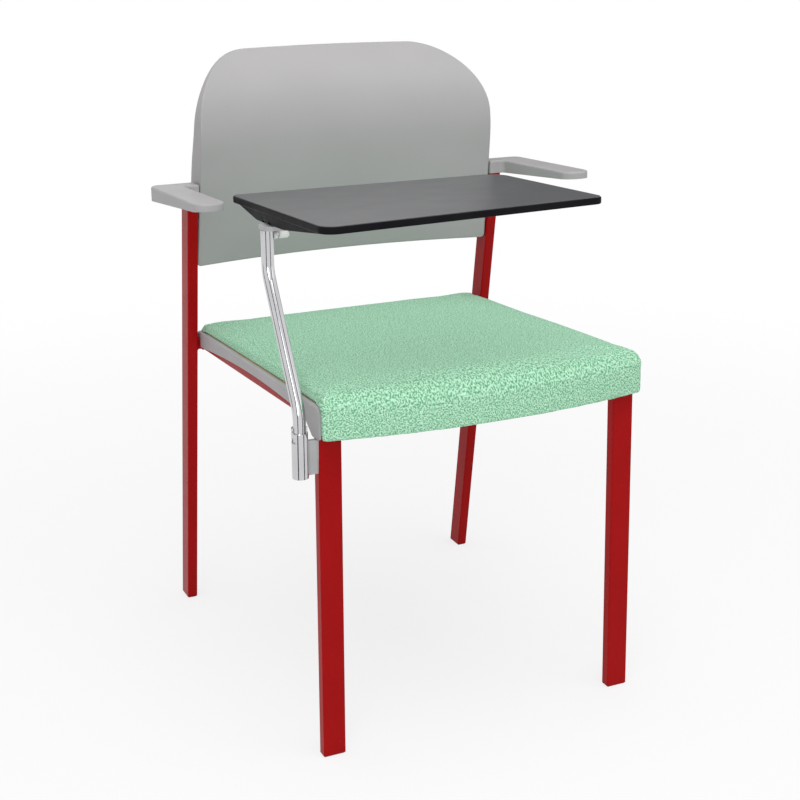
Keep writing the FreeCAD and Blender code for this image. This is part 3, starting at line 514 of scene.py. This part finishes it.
sheet = bmesh.new()
bmesh.ops.create_grid(sheet, x_segments=8, y_segments=8, size=floor_reach)
floor_mesh = bpy.data.meshes.new("floor")
sheet.to_mesh(floor_mesh)
sheet.free()
floor = bpy.data.objects.new("floor", floor_mesh)
bpy.context.scene.collection.objects.link(floor)
pale_floor, tree, shader = bare_material("pale_floor", Roughness=0.9, Specular_IOR_Level=0.0,
                                         Base_Color=floor_white)
place = node(tree, "TexCoord").outputs["Object"]
away = node(tree, "VectorMath", operation="LENGTH")
feed(tree, away.inputs[0], place)
far = node(tree, "MapRange", {"Value": away.outputs["Value"], "From Min": shadow_reach[0],
                              "From Max": shadow_reach[1]}, interpolation_type="SMOOTHSTEP")
far = far.outputs["Result"]
near_share = spread(tree, far, near_glow, 1.0, (0.0, 1.0))


def seen(tree):
    """1 for rays from the camera or off a glossy or clear surface."""
    path = node(tree, "LightPath")
    eye = node(tree, "Math", {0: path.outputs["Is Camera Ray"], 1: path.outputs["Is Glossy Ray"]},
               operation="ADD").outputs[0]
    clear = node(tree, "Math", {0: eye, 1: path.outputs["Is Transmission Ray"]},
                 operation="ADD", use_clamp=True)
    return clear.outputs[0]


share = node(tree, "Math", {0: seen(tree), 1: near_share}, operation="MULTIPLY").outputs[0]
glow = node(tree, "Emission", {"Color": (1.0, 1.0, 1.0), "Strength": 1.0})
both = node(tree, "MixShader", {"Fac": share})
tree.links.new(shader.outputs["BSDF"], both.inputs[1])
tree.links.new(glow.outputs["Emission"], both.inputs[2])
tree.links.new(both.outputs["Shader"], tree.nodes["Material Output"].inputs["Surface"])
floor_mesh.materials.append(pale_floor)

dark_card, tree, shader = bare_material("dark_card", Base_Color=flag_grey, Specular_IOR_Level=0.0)
for name, place, width, height in flags:
    card = bmesh.new()
    bmesh.ops.create_grid(card, x_segments=2, y_segments=2, size=0.5)
    bmesh.ops.scale(card, vec=(width, height, 1.0), verts=card.verts)
    flag_mesh = bpy.data.meshes.new(name)
    card.to_mesh(flag_mesh)
    card.free()
    flag_mesh.materials.append(dark_card)
    flag = bpy.data.objects.new(name, flag_mesh)
    bpy.context.scene.collection.objects.link(flag)
    flag.location = place
    level_aim = Vector((aim.x, aim.y, place[2])) - Vector(place)
    flag.rotation_euler = level_aim.to_track_quat("Z", "Y").to_euler()
    flag.visible_camera = False
    flag.visible_diffuse = False
    flag.visible_shadow = False
    flag.visible_transmission = False

clear_pieces = bpy.data.collections.new("passed_by_light")
for name in passed_by_light:
    clear_pieces.objects.link(nodes[name])
    nodes[name].visible_glossy = False
for entry in clear_pieces.collection_objects:
    entry.light_linking.link_state = "EXCLUDE"
for name, place, size, power in lamps:
    light = bpy.data.lights.new(name, "AREA")
    light.shape = "DISK"
    light.size = size
    light.energy = power
    lamp = bpy.data.objects.new(name, light)
    bpy.context.scene.collection.objects.link(lamp)
    lamp.location = place
    lamp.rotation_euler = (aim - Vector(place)).to_track_quat("-Z", "Y").to_euler()
    lamp.light_linking.blocker_collection = clear_pieces

sky = bpy.data.worlds.new("studio")
sky.use_nodes = True
tree = sky.node_tree
strength = spread(tree, seen(tree), sky_fill, 1.0, (0.0, 1.0))
tree.links.new(strength, tree.nodes["Background"].inputs["Strength"])
tree.nodes["Background"].inputs["Color"].default_value = (1.0, 1.0, 1.0, 1.0)
bpy.context.scene.world = sky

lens = bpy.data.cameras.new("photo_camera")
lens.lens = camera_lens
camera = bpy.data.objects.new("photo_camera", lens)
bpy.context.scene.collection.objects.link(camera)
camera.location = camera_place
camera.rotation_euler = camera_aim.to_track_quat("-Z", "Y").to_euler()
bpy.context.scene.camera = camera
bpy.context.scene.view_settings.view_transform = "Standard"
